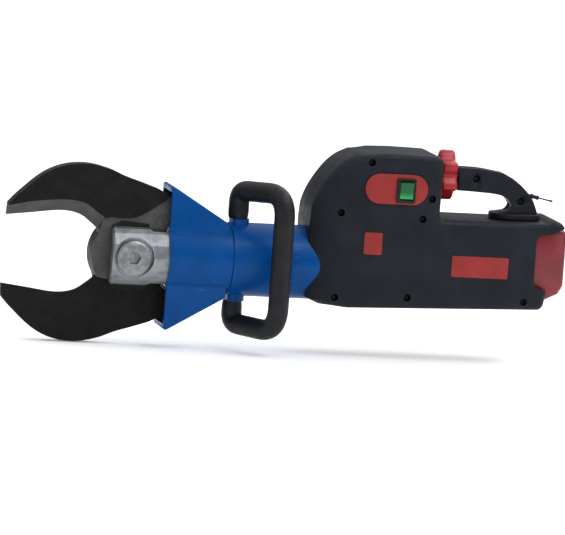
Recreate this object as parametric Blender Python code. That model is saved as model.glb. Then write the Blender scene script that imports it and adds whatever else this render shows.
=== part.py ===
"""Battery-hydraulic rebar cutter: scissor blades, ram, bow handle and battery drive unit.

Lengths are in millimetres, turned into metres when a mesh is made.  The tool's own
frame has the blade pivot at x = z = 0, the ram axis along +X towards the battery, the
bow handle's grip on the -Y side and +Z up.  ORIGIN moves it so that the origin is the
centre of the underside of the whole tool's box.
"""
import math

import bmesh
import bpy
from mathutils import Matrix, Vector

MM = 0.001
GAP = 0.3                      # running and assembly clearance between neighbours

# ---- whole tool
TIP_X = -172.0                 # blade tips
REAR_X = 598.0                 # back of the battery
BELLY_Z = -122.1               # lowest point of the open lower blade
GRIP_Y = -84.0                 # centre line of the bow's grip
TUBE_R = 14.0                  # bow tube with its sleeve
BODY_HALF = 56.0               # half the drive unit's width
ORIGIN = Vector((-(TIP_X + REAR_X) / 2, (TUBE_R - GRIP_Y - BODY_HALF) / 2, -BELLY_Z))

# ---- blades and linkage
BLADE_T = 22.0                 # thickness of one blade
HUB_T = 18.4                   # thickness where the fork holds it
SHEAR_GAP = 0.2                # each blade's distance from the middle plane
HUB_R = 54.0                   # round front of the hub, seen in the throat
HUB_REAR_R = 43.0              # hub behind the pivot, clear of the other blade's links
BOLT_R = 15.0
LINK_R = 66.0                  # pivot to tail pin, and also pin to pin on a link
TAIL_ANGLE = 33.0              # tail pin's angle above the axis with the jaws open
TAIL_REACH = 97.0              # furthest tail corner from the pivot
LAND = 6.0                     # flat width of the cutting edge across the blade
PIN_R = 6.0
ROD_PIN_R = 5.0
ROD_PIN_PLAY = 2.4             # the links' holes here also take up the open pivot's drift
EYE_R = 10.0
LINK_HALF = 8.0
LINK_T = 6.1
LINK_INNER = 0.5               # gap from the middle plane to an inner link
LINK_OUTER = 18.9              # and to an outer one
TAIL_PIN = (LINK_R * math.cos(math.radians(TAIL_ANGLE)),
            LINK_R * math.sin(math.radians(TAIL_ANGLE)))
ROD_PIN_X = 2 * TAIL_PIN[0]

# ---- fork, wing frame and ram
FORK_R = 45.0
FORK_FRONT = -29.0
FORK_REAR = 134.0
FORK_SLOT = 21.1               # half the slot that holds hubs and wear plates
LINK_SLOT = 27.8               # half the wider slot behind, for links and pins
WEAR_T = 2.0
WING_FRONT = 48.5
WING_HALF = 35.0
WING_PLATE = 6.0
WING_TOP = 97.0
BARREL_R = 50.0
BARREL_X = (136.3, 262.0)
BORE_R = 36.3
ROD_R = 18.0
PISTON_X = (212.0, 236.0)

# ---- bow handle
BOW_LEG = (147.0, -4.0)        # x, y of both legs
BOW_GRIP_X = 194.0
BOW_TOP = (94.0, 100.0)        # tube centre height at the legs and at the grip
BOW_BOTTOM = (-87.0, -88.0)
BOW_BENDS = (16.0, 34.0, 34.0, 16.0)   # how far each bend reaches along its two legs
BOSS_Z = 56.0
CORE_R = 11.0

# ---- drive unit
WALL = 3.2
FILLET = 9.0                   # round along the casing's side edges
NOSE_X = 239.0
BLOCK_TOP = 158.5
BLOCK_REAR = 417.0
DECK_Z = 72.0                  # top of the body behind the block
KNOB_Z = 129.0
KNOB_X = (421.0, 443.0)
NECK_R = 9.0
MOTOR_Z = 9.0
LEAD_X = 549.0                 # where the lead's line meets the handle's back
LEAD_Z = 106.0
LEAD_DROP = 11.0
LEAD_R = 1.0
BELLY_FRONT = -54.0
BELLY_REAR = -46.0
SCREWS = {"top_front": (316, 146), "nose_upper": (278, 76), "block_rear": (403, 100),
          "block_low": (392, 72), "belly_middle": (378, -36), "belly_front": (277, -40),
          "belly_rear": (541, -35)}
HANDLE_SCREWS = {"front": (473, 126), "rear": (537, 98)}
HEAD_R = 4.0
SHANK_R = 2.0
PLATE = (352.0, 111.5, 87.0, 41.0)      # switch plate: centre x, z, length, height
FRAME = (365.0, 110.0, 26.0, 33.0)      # rocker's frame, in the same order
ROCKER = (365.5, 110.5)


# ---------------------------------------------------------------- shapes

def material(name, colour, roughness, metallic=0.0):
    mat = bpy.data.materials.new(name)
    mat.use_nodes = True
    shader = mat.node_tree.nodes["Principled BSDF"]
    shader.inputs["Base Color"].default_value = (*colour, 1.0)
    shader.inputs["Roughness"].default_value = roughness
    shader.inputs["Metallic"].default_value = metallic
    mat.diffuse_color = (*colour, 1.0)
    return mat


def new_object(name, bm):
    """Turn a bmesh given in millimetres of the tool's frame into a named object."""
    bmesh.ops.recalc_face_normals(bm, faces=bm.faces)
    bmesh.ops.triangulate(bm, faces=list(bm.faces))
    bmesh.ops.transform(bm, matrix=Matrix.Scale(MM, 4) @ Matrix.Translation(ORIGIN),
                        verts=bm.verts)
    mesh = bpy.data.meshes.new(name)
    bm.to_mesh(mesh)
    bm.free()
    obj = bpy.data.objects.new(name, mesh)
    bpy.context.scene.collection.objects.link(obj)
    return obj


def along(axis, a, b, s):
    """A point s along the axis, with a and b on the two other axes in X, Y, Z order."""
    return {"X": (s, a, b), "Y": (a, s, b), "Z": (a, b, s)}[axis]


def loft(name, rings):
    """A closed solid through rings that have the same number of points."""
    bm = bmesh.new()
    rows = [[bm.verts.new(p) for p in ring] for ring in rings]
    count = len(rows[0])
    for low, high in zip(rows, rows[1:]):
        for i in range(count):
            j = (i + 1) % count
            bm.faces.new((low[i], low[j], high[j], high[i]))
    bm.faces.new(rows[0])
    bm.faces.new(rows[-1])
    return new_object(name, bm)


def prism(name, outline, axis, low, high):
    return loft(name, [[along(axis, a, b, s) for a, b in outline] for s in (low, high)])


def circle(centre, radius, count=24, start=0.0, end=360.0):
    """Points on a circle, or on an arc that includes both of its ends."""
    full = abs(end - start) >= 360.0
    steps = count if full else count - 1
    angles = [math.radians(start + (end - start) * i / steps) for i in range(count)]
    return [(centre[0] + radius * math.cos(t), centre[1] + radius * math.sin(t)) for t in angles]


def turned(name, profile, axis="X", centre=(0.0, 0.0), count=24):
    """A solid of revolution from (position along the axis, radius) pairs on its outside."""
    return loft(name, [[along(axis, a, b, s) for a, b in circle(centre, r, count)]
                       for s, r in profile])


def rod(name, axis, centre, radius, low, high, count=24, chamfer=0.0):
    if chamfer:
        profile = [(low, radius - chamfer), (low + chamfer, radius),
                   (high - chamfer, radius), (high, radius - chamfer)]
    else:
        profile = [(low, radius), (high, radius)]
    return turned(name, profile, axis, centre, count)


def box(name, x, y, z):
    return prism(name, [(x[0], y[0]), (x[1], y[0]), (x[1], y[1]), (x[0], y[1])], "Z", *z)


def rectangle(cx, cz, width, height, corner, steps=5):
    """A rectangle with round corners in two coordinates."""
    points = []
    for sx, sz, start in ((1, 1, 0), (-1, 1, 90), (-1, -1, 180), (1, -1, 270)):
        mid = (cx + sx * (width / 2 - corner), cz + sz * (height / 2 - corner))
        points += circle(mid, corner, steps, start, start + 90)
    return points


def curve_through(points, per_span=4):
    """A smooth curve through the points, by Catmull-Rom spans."""
    ends = [tuple(2 * a - b for a, b in zip(points[0], points[1]))]
    ends += list(points)
    ends.append(tuple(2 * a - b for a, b in zip(points[-1], points[-2])))
    result = []
    for p0, p1, p2, p3 in zip(ends, ends[1:], ends[2:], ends[3:]):
        for step in range(per_span):
            t = step / per_span
            result.append(tuple(
                0.5 * (2 * b + (c - a) * t + (2 * a - 5 * b + 4 * c - d) * t * t
                       + (3 * b - a - 3 * c + d) * t ** 3)
                for a, b, c, d in zip(p0, p1, p2, p3)))
    result.append(tuple(points[-1]))
    return result


def inset(outline, distance):
    """An outline moved inwards by a distance; the outline runs anticlockwise."""
    result = []
    count = len(outline)
    for i, point in enumerate(outline):
        before = Vector(outline[i - 1])
        here = Vector(point)
        after = Vector(outline[(i + 1) % count])
        n1 = Vector((-(here - before).y, (here - before).x)).normalized()
        n2 = Vector((-(after - here).y, (after - here).x)).normalized()
        mid = (n1 + n2).normalized()
        result.append(tuple(here + mid * (distance / max(0.4, mid.dot(n1)))))
    return result


def weld(mesh):
    """Merge points closer than two thousandths of a millimetre."""
    bm = bmesh.new()
    bm.from_mesh(mesh)
    bmesh.ops.remove_doubles(bm, verts=bm.verts, dist=0.002 * MM)
    bm.to_mesh(mesh)
    bm.free()


def boolean(target, tool, operation="DIFFERENCE"):
    """Cut, join or intersect with an object that is used up."""
    modifier = target.modifiers.new("boolean", "BOOLEAN")
    modifier.operation = operation
    modifier.solver = "EXACT"
    modifier.object = tool
    graph = bpy.context.evaluated_depsgraph_get()
    mesh = bpy.data.meshes.new_from_object(target.evaluated_get(graph))
    weld(mesh)
    old = target.data
    target.modifiers.clear()
    target.data = mesh
    mesh.name = target.name
    bpy.data.meshes.remove(old)
    bpy.data.objects.remove(tool)
    return target


def cut(target, *tools):
    for tool in tools:
        boolean(target, tool, "DIFFERENCE")
    return target


def join(target, *tools):
    for tool in tools:
        boolean(target, tool, "UNION")
    return target


def rounded(obj, width, segments=2, angle=40.0):
    """Round every edge sharper than the angle."""
    modifier = obj.modifiers.new("round", "BEVEL")
    modifier.width = width * MM
    modifier.segments = segments
    modifier.limit_method = "ANGLE"
    modifier.angle_limit = math.radians(angle)
    return obj


def finish(obj, mat, smooth=35.0):
    """Merge flat neighbours, give the material and shade round faces smooth."""
    bm = bmesh.new()
    bm.from_mesh(obj.data)
    bmesh.ops.dissolve_limit(bm, angle_limit=math.radians(0.4), verts=bm.verts, edges=bm.edges)
    bm.to_mesh(obj.data)
    bm.free()
    obj.data.materials.clear()
    obj.data.materials.append(mat)
    obj.data.shade_smooth()
    obj.data.set_sharp_from_angle(angle=math.radians(smooth))
    return obj


# ---------------------------------------------------------------- blades and linkage

def blade_outlines():
    """The blade's outline at the shear face, and at its outer face behind the ground edge."""
    cutting = curve_through([(TIP_X, 47), (-140, 51), (-98, 56), (-72, 52), (-54, 40), (-46, 33)])
    ground = curve_through([(TIP_X, 61), (-140, 68), (-96, 72.5), (-68, 69), (-51, 58), (-40, 51)])
    hub = circle((0, 0), HUB_R, 9, 148, 215)
    hub += circle((0, 0), HUB_REAR_R, 12, 232, 352)
    eye = circle(TAIL_PIN, 14.0, 9, -105, 15)
    corner = circle((0, 0), TAIL_REACH, 4, 40, 61)
    back = curve_through([(34, 91.5), (10, 99.5), (-12, 106.5), (-36, 116), (-66, 122),
                          (-97, 119), (-126, 106), (-156, 80), (TIP_X + 1, 64)])
    rest = hub + eye + corner + back
    return cutting + rest, ground + rest


def blade(name, side, mat):
    """One blade; side is -1 for the near upper one and +1 for the far lower one."""
    edge, face = blade_outlines()
    flip = -side

    def ring(points, depth):
        return [(x, side * depth, flip * z) for x, z in points]

    body = loft(name, [ring(edge, SHEAR_GAP), ring(edge, LAND), ring(face, BLADE_T)])
    recess = curve_through([(-64, 34), (-47, 46), (-31, 51), (-14, 50.5), (4, 53), (24, 64),
                            (54, 86)])
    recess += [(110, 110), (110, -70), (-64, -70)]
    cut(body,
        loft("recess", [ring(recess, HUB_T), ring(recess, BLADE_T + 5)]),
        rod("bore", "Y", (0, 0), BOLT_R + GAP, -40, 40, 24),
        rod("eye", "Y", (TAIL_PIN[0], flip * TAIL_PIN[1]), PIN_R + GAP, -40, 40, 16))
    return finish(body, mat, 30.0)


def link(name, upper, low, mat):
    """A flat link from a blade's tail pin to the rod pin."""
    sign = 1 if upper else -1
    tail = Vector((TAIL_PIN[0], sign * TAIL_PIN[1]))
    rod_pin = Vector((ROD_PIN_X, 0.0))
    heading = math.degrees(math.atan2(*(rod_pin - tail).yx))
    waist = (rod_pin - tail).normalized().orthogonal() * LINK_HALF
    middle = (tail + rod_pin) / 2
    outline = circle(tail, EYE_R, 9, heading + 65, heading + 295)
    outline.append(tuple(middle - waist))
    outline += circle(rod_pin, EYE_R, 9, heading - 115, heading + 115)
    outline.append(tuple(middle + waist))
    plate = prism(name, outline, "Y", low, low + LINK_T)
    cut(plate,
        rod("hole_a", "Y", tail, PIN_R + GAP, -40, 40, 16),
        rod("hole_b", "Y", rod_pin, ROD_PIN_R + ROD_PIN_PLAY, -40, 40, 16))
    return finish(plate, mat)


def make_head(steel, black, bright):
    blade("upper_blade", -1, black)
    blade("lower_blade", 1, black)
    for name, side in (("near", -1), ("far", 1)):
        low = HUB_T + 0.4 if side > 0 else -HUB_T - 0.4 - WEAR_T
        plate = prism("wear_plate_" + name, [(-29, -40), (-14, -47), (22, -44), (22, 44),
                                             (-14, 47), (-29, 40)], "Y", low, low + WEAR_T)
        cut(plate, rod("hole", "Y", (0, 0), BOLT_R + GAP, -40, 40, 24))
        finish(plate, black)
    bolt = turned("pivot_bolt", [(-44.5, 20), (-43, 23), (-36.3, 23), (-36.3, BOLT_R),
                                 (44, BOLT_R), (46, BOLT_R - 2)], "Y", (0, 0), 32)
    cut(bolt, prism("socket", circle((0, 0), 9.8, 6), "Y", -50, -38))
    finish(bolt, steel)
    nut = prism("pivot_nut", circle((0, 0), 25, 6), "Y", 36.3, 44.5)
    cut(nut, rod("thread", "Y", (0, 0), BOLT_R + GAP, 20, 60, 24))
    finish(nut, steel)

    for upper in (True, False):
        word = "upper" if upper else "lower"
        side = -1 if upper else 1
        outer = LINK_OUTER if side > 0 else -LINK_OUTER - LINK_T
        inner = -LINK_INNER - LINK_T if side > 0 else LINK_INNER
        link("link_%s_outer" % word, upper, outer, steel)
        link("link_%s_inner" % word, upper, inner, steel)
        ends = sorted((side * 26.5, -side * 8.0))
        pin = rod("tail_pin_" + word, "Y", (TAIL_PIN[0], -side * TAIL_PIN[1]), PIN_R, *ends,
                  16, 0.8)
        finish(pin, bright)
    finish(rod("rod_pin", "Y", (ROD_PIN_X, 0), ROD_PIN_R, -26.5, 26.5, 16, 0.8), bright)


def make_fork(silver):
    """The turned fork that carries the blades, with a wider slot behind for the links."""
    fork = turned("fork", [(FORK_FRONT, FORK_R - 2.5), (FORK_FRONT + 2.5, FORK_R),
                           (FORK_REAR, FORK_R)], count=32)
    slot = box("slot", (-60, 126), (-FORK_SLOT, FORK_SLOT), (-60, 60))
    wide = box("wide", (0, 126), (-LINK_SLOT, LINK_SLOT), (-60, 60))
    cut(wide, rod("boss", "Y", (0, 0), 44.4, -50, 50, 32))
    cut(fork, slot, wide,
        rod("bolt_hole", "Y", (0, 0), BOLT_R + GAP, -60, 60, 24),
        rod("seat_near", "Y", (0, 0), 27.5, -60, -36, 24),
        rod("seat_far", "Y", (0, 0), 27.5, 36, 60, 24),
        rod("rod_hole", "X", (0, 0), ROD_R + GAP, 120, 140, 24))
    finish(fork, silver)


def make_wing_frame(blue):
    """The welded frame with a wing above and below, open at the front and hollow."""
    def profile(drop, front):
        top = WING_TOP - drop
        knee = WING_FRONT + 4
        return [(front, -top), (knee, -top), (131, -50 + drop), (131, 50 - drop),
                (knee, top), (front, top)]

    frame = prism("wing_frame", profile(0, WING_FRONT), "Y", -WING_HALF, WING_HALF)
    rounded(frame, 5.0, 2)
    join(frame, rod("hull", "X", (0, 0), BARREL_R - 1, WING_FRONT, FORK_REAR + 2, 32))
    inner = WING_HALF - WING_PLATE
    hollow = prism("hollow", profile(WING_PLATE + 1, WING_FRONT - 20), "Y", -inner, inner)
    cut(frame, hollow, rod("seat", "X", (0, 0), FORK_R + 0.8, 0, 200, 32))
    finish(frame, blue)


def make_ram(blue, steel, bright, rubber):
    barrel = rod("cylinder_barrel", "X", (0, 0), BARREL_R, *BARREL_X, 32)
    for low, high in ((40, BOSS_Z), (-BOSS_Z, -40)):
        boss = rod("boss", "Z", BOW_LEG, 15.5, low, high, 32)
        join(barrel, cut(boss, box("front", (120, BARREL_X[0] + 1), (-30, 30), (-60, 60))))
    cut(barrel, rod("bore", "X", (0, 0), BORE_R, 100, 300, 24))
    for low, high in ((42, 70), (-70, -42)):
        cut(barrel, rod("stud_hole", "Z", BOW_LEG, 5 + GAP, low, high, 20))
    finish(barrel, blue)

    gland = rod("rod_gland", "X", (0, 0), BORE_R - GAP, BARREL_X[0] + 0.2, 158, 24)
    finish(cut(gland, rod("bore", "X", (0, 0), ROD_R + GAP, 100, 200, 24)), steel)

    front, rear = PISTON_X
    piston = turned("piston", [(front, 33), (front + 2, BORE_R - 0.7), (221.7, BORE_R - 0.7),
                               (221.7, 32.7), (228.3, 32.7), (228.3, BORE_R - 0.7),
                               (rear, BORE_R - 0.7)])
    finish(cut(piston, rod("socket", "X", (0, 0), 12 + GAP, 200, 250, 32)), steel)
    seal = rod("piston_seal", "X", (0, 0), BORE_R - GAP, 222, 228)
    finish(cut(seal, rod("bore", "X", (0, 0), 33, 200, 250)), rubber)

    shaft = turned("piston_rod", [(123, ROD_R - 2), (125, ROD_R), (front - GAP, ROD_R),
                                  (front - GAP, 12), (rear + 4, 12)])
    fork_outline = circle((ROD_PIN_X, 0), 11, 17, 90, 270) + [(126, -11), (126, 11)]
    eye = prism("eye", fork_outline, "Y", -HUB_T, HUB_T)
    cut(join(shaft, eye), box("gap", (90, 125), (-7.1, 7.1), (-20, 20)),
        rod("hole", "Y", (ROD_PIN_X, 0), ROD_PIN_R + GAP, -40, 40, 16))
    finish(shaft, bright)


# ---------------------------------------------------------------- bow handle

def bow_path():
    """The bow's centre line: two legs, two bends and the upright grip."""
    x, y = BOW_LEG
    corners = [Vector((x, y, BOSS_Z + GAP)), Vector((x, y, BOW_TOP[0])),
               Vector((BOW_GRIP_X, GRIP_Y, BOW_TOP[1])),
               Vector((BOW_GRIP_X, GRIP_Y, BOW_BOTTOM[1])),
               Vector((x, y, BOW_BOTTOM[0])), Vector((x, y, -BOSS_Z - GAP))]
    path = [corners[0]]
    for before, here, after, bend in zip(corners, corners[1:], corners[2:], BOW_BENDS):
        start = here + (before - here).normalized() * bend
        end = here + (after - here).normalized() * bend
        for step in range(5):
            t = step / 4
            path.append(start * (1 - t) ** 2 + here * 2 * t * (1 - t) + end * t * t)
    path.append(corners[-1])
    return path


def swept(name, path, radius, count=16):
    """A round bar along a path."""
    tangents = []
    for i in range(len(path)):
        ahead = path[min(i + 1, len(path) - 1)]
        behind = path[max(i - 1, 0)]
        tangents.append((ahead - behind).normalized())
    side = Vector((1, 0, 0))
    rings = []
    for point, tangent in zip(path, tangents):
        side = (side - tangent * side.dot(tangent)).normalized()
        up = tangent.cross(side)
        rings.append([point + side * a + up * b for a, b in circle((0, 0), radius, count)])
    return loft(name, rings)


def make_bow(steel, sleeve_mat):
    path = bow_path()
    core = swept("bow_tube", path, CORE_R, 12)
    for low, high in ((BOSS_Z - 5, 72), (-72, -BOSS_Z + 5)):
        cut(core, rod("hole", "Z", BOW_LEG, 5 + GAP, low, high, 20))
    finish(core, steel)
    sleeve = swept("bow_sleeve", path, TUBE_R)
    ends = path[0] + Vector((0, 0, -5)), path[-1] + Vector((0, 0, 5))
    cut(sleeve, swept("bore", [ends[0]] + path + [ends[1]], CORE_R + 0.6, 12))
    finish(sleeve, sleeve_mat)
    for name, low, high in (("top", 42.5, 71.5), ("bottom", -71.5, -42.5)):
        finish(rod("bow_stud_" + name, "Z", BOW_LEG, 5, low, high, 20), steel)


# ---------------------------------------------------------------- drive unit

def body_outline():
    """The casing's side outline, anticlockwise from the lower front corner, and which of
    its points belong to the long bevel of the nose."""
    lower = [(NOSE_X + 2, BELLY_FRONT + 10), (NOSE_X + 19, BELLY_FRONT + 3),
             (296, BELLY_FRONT), (556, BELLY_REAR)]
    lower += circle((560, BELLY_REAR + 11), 11, 4, -80, 0)
    rear = [(582, 20), (592, 58)]
    rear += circle((582, 65), 12, 5, 0, 80)
    deck = [(575, 76.6), (570, DECK_Z + 0.5), (BLOCK_REAR + 5, DECK_Z)]
    deck += circle((BLOCK_REAR + 5.5, DECK_Z + 6), 6, 3, -95, -175)
    block = circle((BLOCK_REAR - 11, BLOCK_TOP - 11), 11, 5, 0, 86)
    block += [(360, BLOCK_TOP + 1), (328, BLOCK_TOP)]
    nose = curve_through([(300, 155.5), (283, 146.5), (267, 131), (250, 105), (241, 82),
                          (NOSE_X, 62)], 2)
    nose += [(NOSE_X, 10)]
    outline = lower + rear + deck + block + nose
    bevelled = [1.0] * 2 + [0.0] * (len(outline) - len(nose) - 2) + [1.0] * len(nose)
    return outline, bevelled


def casing(name, wall):
    """The casing's rounded body, made smaller by a wall thickness."""
    full, bevelled = body_outline()
    outline = inset(full, wall)
    rounds = inset(full, FILLET)
    fillet = FILLET - wall
    half = BODY_HALF - wall
    depths = [(0.0, 1.0), (0.13, 0.5), (0.5, 0.13), (1.0, 0.0)]
    levels = [(half - fillet * depth, shrink) for depth, shrink in depths]
    levels += [(half - 14, 0.0), (half - 20, 0.0)]
    rings = []
    for y, shrink in levels:
        ring = []
        slope = (y - (half - 20)) / 20
        for (x, z), (rx, rz), nose in zip(outline, rounds, bevelled):
            if nose:
                reach = 33.0 - 0.16 * max(0.0, z - 60)
                ring.append((x + reach * slope * slope, z - (3.0 * slope if z > 140 else 0.0)))
            else:
                ring.append((x + (rx - x) * shrink, z + (rz - z) * shrink))
        rings.append((y, ring))
    both = [(-y, ring) for y, ring in rings] + [(y, ring) for y, ring in reversed(rings)]
    return loft(name, [[(x, y, z) for x, z in ring] for y, ring in both])


def battery_outline(grow=0.0):
    """The pack's side outline: a slim tongue in the body and a deeper block at the back."""
    top = 63 + grow
    return [(472 - grow, -24 - grow), (556, -24 - grow), (560, -33 - grow), (572, -33 - grow),
            (592, -23 - grow), (REAR_X + grow, -12 - grow), (REAR_X + grow, 58 + grow),
            (REAR_X - 4, top + 2), (575, top), (556, 58 + grow), (472 - grow, 58 + grow)]


def scallop_outline():
    """The U-shaped opening in the casing's sides that shows the battery."""
    return [(553, 50), (553, 0)] + circle((563, -6), 10, 5, 180, 262) + \
        [(577, -22), (640, -22), (640, 70), (598, 70), (572, 59), (558, 57)]


def screw_hole(point, seat_y, end_y):
    """A cutter for a screw's blind hole and the wider seat of its head."""
    return turned("screw_hole", [(-75, HEAD_R + 1), (seat_y, HEAD_R + 1),
                                 (seat_y, SHANK_R + GAP), (end_y, SHANK_R + GAP)],
                  "Y", point, 10)


def make_casing(plastic):
    shell = casing("casing_near", 0.0)
    cavity = casing("cavity", WALL)
    for point in SCREWS.values():
        cut(cavity, rod("post", "Y", point, 7, -BODY_HALF, BODY_HALF, 8))
    cut(shell, cavity,
        rod("nose_hole", "X", (0, 0), BARREL_R + 0.8, 200, 270, 32),
        rod("neck_hole", "X", (0, KNOB_Z), 16.4, 405, 430, 24),
        box("bay", (560, 660), (-46.6, 46.6), (-38, 70)),
        prism("scallop", scallop_outline(), "Y", -80, 80),
        box("switch_hole", (FRAME[0] - 12, FRAME[0] + 12), (-70, -45),
            (FRAME[1] - 15.5, FRAME[1] + 15.5)))
    for point in SCREWS.values():
        cut(shell, screw_hole(point, 8 - BODY_HALF, 20))
    far = shell.copy()
    far.data = shell.data.copy()
    far.name = "casing_far"
    bpy.context.scene.collection.objects.link(far)
    split = 0.15
    boolean(shell, box("near_half", (100, 700), (-90, -split), (-90, 200)), "INTERSECT")
    boolean(far, box("far_half", (100, 700), (split, 90), (-90, 200)), "INTERSECT")
    finish(shell, plastic)
    finish(far, plastic)


def machine_screw(name, axis_point, head_y, end_y, mat):
    """A pan-head screw along +Y."""
    screw = turned(name, [(head_y, HEAD_R - 1), (head_y + 1.2, HEAD_R), (head_y + 3, HEAD_R),
                          (head_y + 3, SHANK_R), (end_y, SHANK_R)], "Y", axis_point, 12)
    return finish(screw, mat)


def make_hydraulics(alloy, steel, oil_plastic):
    block = box("valve_block", (BARREL_X[1] + GAP, 300), (-40, 40), (-28, 56))
    cut(block, rod("shaft_hole", "X", (0, MOTOR_Z), 6, 292, 320, 20))
    finish(rounded(block, 2.0, 1), alloy)
    pump = box("pump_block", (300.4, 344), (-34, 34), (-26, 44))
    cut(pump, rod("chamber", "X", (0, MOTOR_Z), 20, 312, 360, 24))
    finish(rounded(pump, 2.0, 1), alloy)
    tank = box("oil_reservoir", (296, 344), (-45, 45), (60, 134))
    finish(rounded(tank, 4.0, 2), oil_plastic)
    manifold = box("valve_manifold", (352, 394), (-22, 22), (106, 146))
    cut(manifold, rod("port", "X", (0, KNOB_Z), 16.4, 380, 410, 24),
        rod("socket", "X", (0, KNOB_Z), NECK_R + GAP, 366, 385, 24))
    finish(rounded(manifold, 1.5, 1), alloy)


def make_motor(steel, copper, dark):
    can = rod("motor_can", "X", (0, MOTOR_Z), 33, 350, 446, 24, 2)
    cut(can, rod("bore", "X", (0, MOTOR_Z), 28, 354, 442, 24),
        rod("front", "X", (0, MOTOR_Z), 6, 340, 360, 16),
        rod("vent", "X", (0, MOTOR_Z), 6, 440, 450, 16))
    finish(can, dark)
    rotor = turned("motor_rotor", [(346, 5), (360, 5), (360, 26), (430, 26), (430, 5), (449, 5)],
                   "X", (0, MOTOR_Z), 20)
    finish(rotor, copper)
    shaft = rod("eccentric_shaft", "X", (0, MOTOR_Z), 5, 314, 345.6, 16)
    finish(join(shaft, rod("cam", "X", (3, MOTOR_Z), 12, 318, 338, 20)), steel)


def star_outline(lobes=6, mean=29.0, depth=5.0, count=48):
    """A smooth star: the radius swings once for each lobe."""
    points = []
    for i in range(count):
        t = 2 * math.pi * i / count
        radius = mean + depth * math.cos(lobes * t)
        points.append((radius * math.sin(t), KNOB_Z + radius * math.cos(t)))
    return points


def make_controls(red, steel, black, green):
    low, high = KNOB_X
    knob = loft("star_knob", [
        [(x, y * s, KNOB_Z + (z - KNOB_Z) * s) for y, z in star_outline()]
        for x, s in ((low, 0.92), (low + 2.5, 1.0), (high - 2.5, 1.0), (high, 0.9))])
    cut(knob, rod("bore", "X", (0, KNOB_Z), NECK_R + 0.5, 400, 460, 24))
    finish(knob, red)
    sleeve = rod("valve_sleeve", "X", (0, KNOB_Z), 16, 382, low - GAP, 24)
    finish(cut(sleeve, rod("bore", "X", (0, KNOB_Z), NECK_R + 0.5, 370, 430, 24)), steel)

    cx, cz, length, height = PLATE
    plate = prism("switch_plate", rectangle(cx, cz, length, height, height / 2 - 0.01, 9), "Y",
                  -BODY_HALF - 2.3, -BODY_HALF - GAP)
    hole = rectangle(FRAME[0], FRAME[1], 24, 31, 1, 2)
    finish(cut(plate, prism("hole", hole, "Y", -70, -50)), red)
    flange = prism("switch_frame", rectangle(*FRAME, 2, 3), "Y", -BODY_HALF - 5, -BODY_HALF - 2.6)
    join(flange, box("body", (FRAME[0] - 11.5, FRAME[0] + 11.5),
                     (-BODY_HALF - 3, -BODY_HALF + 26), (FRAME[1] - 15, FRAME[1] + 15)))
    cut(flange, box("well", (ROCKER[0] - 9.4, ROCKER[0] + 9.4), (-70, -BODY_HALF + 14),
                    (ROCKER[1] - 13.2, ROCKER[1] + 13.2)))
    finish(flange, black)
    face = -BODY_HALF - 7.5
    rocker_outline = [(face + 13, ROCKER[1] - 6), (face + 13, ROCKER[1] + 6),
                      (face + 3.2, ROCKER[1] + 11.4), (face, ROCKER[1] + 10.6),
                      (face + 1.6, ROCKER[1]), (face + 3.0, ROCKER[1] - 11.4),
                      (face + 5.0, ROCKER[1] - 11.4)]
    finish(prism("switch_rocker", rocker_outline, "X", ROCKER[0] - 9, ROCKER[0] + 9), green)


def handle_outline():
    """The rear handle's side outline, from its front end over the grip to its foot."""
    foot = DECK_Z + 9.8
    top = curve_through([(447, 140.5), (480, 139.5), (512, 135)], 2)
    back = curve_through([(523, 129.5), (538, 118.5), (553, 102), (562, foot)], 3)
    inner = curve_through([(508, foot), (520, 84.5), (525, 92), (518, 101.5), (503, 106.5),
                           (475, 108.5), (447, 109.5)], 2)
    return top + back + inner


def make_handle(plastic, steel, screw_mat):
    whole = prism("handle_near", handle_outline()[::-1], "Y", -15, 15)
    rounded(whole, 4.5, 2, 50)
    cut(whole, rod("neck_hole", "X", (0, KNOB_Z), NECK_R + GAP, 440, 470, 24),
        tilted(rod("gland_hole", "X", (0, LEAD_Z), 2.7, 536, 570, 12)))
    for name, point in HANDLE_SCREWS.items():
        cut(whole, screw_hole(point, -8, 9))
        machine_screw("handle_screw_" + name, point, -12, 8, screw_mat)
    far = whole.copy()
    far.data = whole.data.copy()
    far.name = "handle_far"
    bpy.context.scene.collection.objects.link(far)
    boolean(whole, box("near_half", (400, 600), (-40, -0.15), (60, 160)), "INTERSECT")
    boolean(far, box("far_half", (400, 600), (0.15, 40), (60, 160)), "INTERSECT")
    finish(whole, plastic)
    finish(far, plastic)
    neck = rod("handle_neck", "X", (0, KNOB_Z), NECK_R, 366.3, 466, 24, 1)
    finish(neck, steel)


def make_handle_base(plastic):
    """The oval foot under the handle, screwed down through the deck."""
    oval = rectangle(533, 0, 72, 52, 25.9, 7)
    base = prism("handle_base", oval, "Z", DECK_Z + 0.9, DECK_Z + 9.4)
    finish(rounded(base, 1.5, 2), plastic)


def make_battery(red, black, board_mat):
    pack = prism("battery_pack", battery_outline(), "Y", -46, 46)
    finish(rounded(pack, 5.0, 2), red)
    latch = box("battery_latch", (576, 590), (-9, 9), (66, 70))
    finish(rounded(latch, 1.0, 1), black)
    terminals = box("terminal_block", (458, 471), (-24, 24), (-10, 44))
    finish(terminals, black)
    board = box("controller_board", (360, 440), (-36, 36), (50, 53))
    finish(board, board_mat)


def make_labels(red):
    label = prism("side_label", rectangle(476, 10, 79, 29, 2, 3), "Y",
                  -BODY_HALF - 0.8, -BODY_HALF - GAP)
    finish(label, red)
    accent = prism("front_label", rectangle(325, 36, 25, 30, 2, 3), "Y",
                   -BODY_HALF - 0.8, -BODY_HALF - GAP)
    finish(accent, red)


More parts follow.
